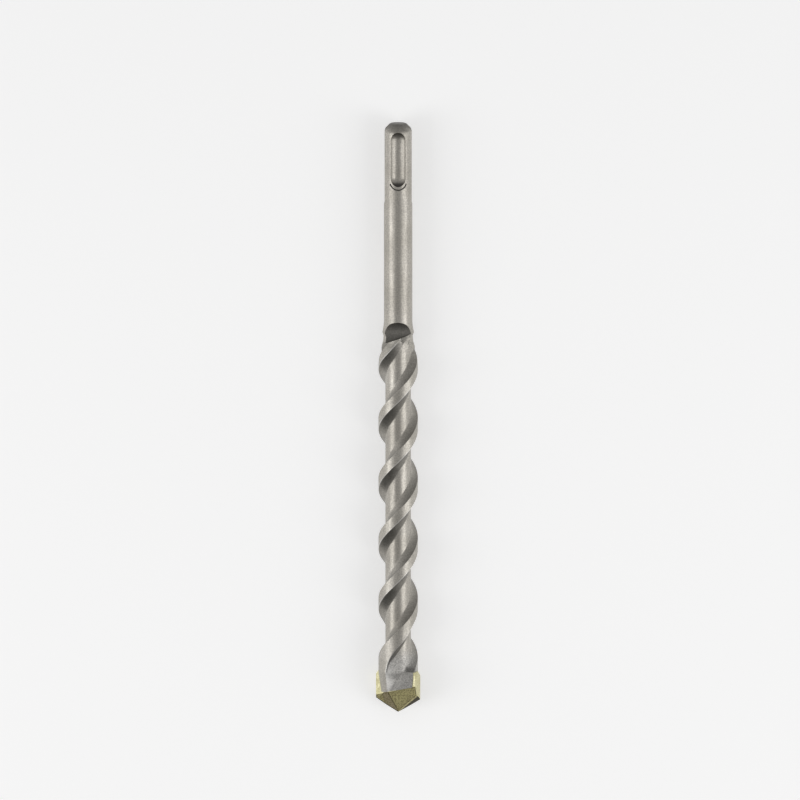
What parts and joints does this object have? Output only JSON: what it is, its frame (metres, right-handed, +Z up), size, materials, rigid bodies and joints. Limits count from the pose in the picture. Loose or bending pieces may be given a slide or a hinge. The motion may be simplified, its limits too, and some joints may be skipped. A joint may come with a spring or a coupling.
{
  "type": "masonry drill bit",
  "caption": "Masonry drill bit with a slotted hammer shank, a right-hand spiral and a brazed-in carbide plate ground to a roof-shaped tip.",
  "frame": {"origin": "on the floor, midway along the bit's length, under its axis", "axes": "the bit lies along Y: +Y towards the striking end of the shank, -Y towards the tip, +Z up through one locking groove"},
  "size_m": [0.0156, 0.21, 0.0139],
  "materials": {
    "body_steel": "satin, fine blasted grain on the spiral",
    "carbide": "ground tungsten carbide with a yellowish tint from the brazing",
    "braze": "matt brazing alloy"
  },
  "bodies": {
    "root": {"steel_body": "body_steel", "carbide_plate": "carbide", "braze_joint": "braze"}
  },
  "joints": []
}
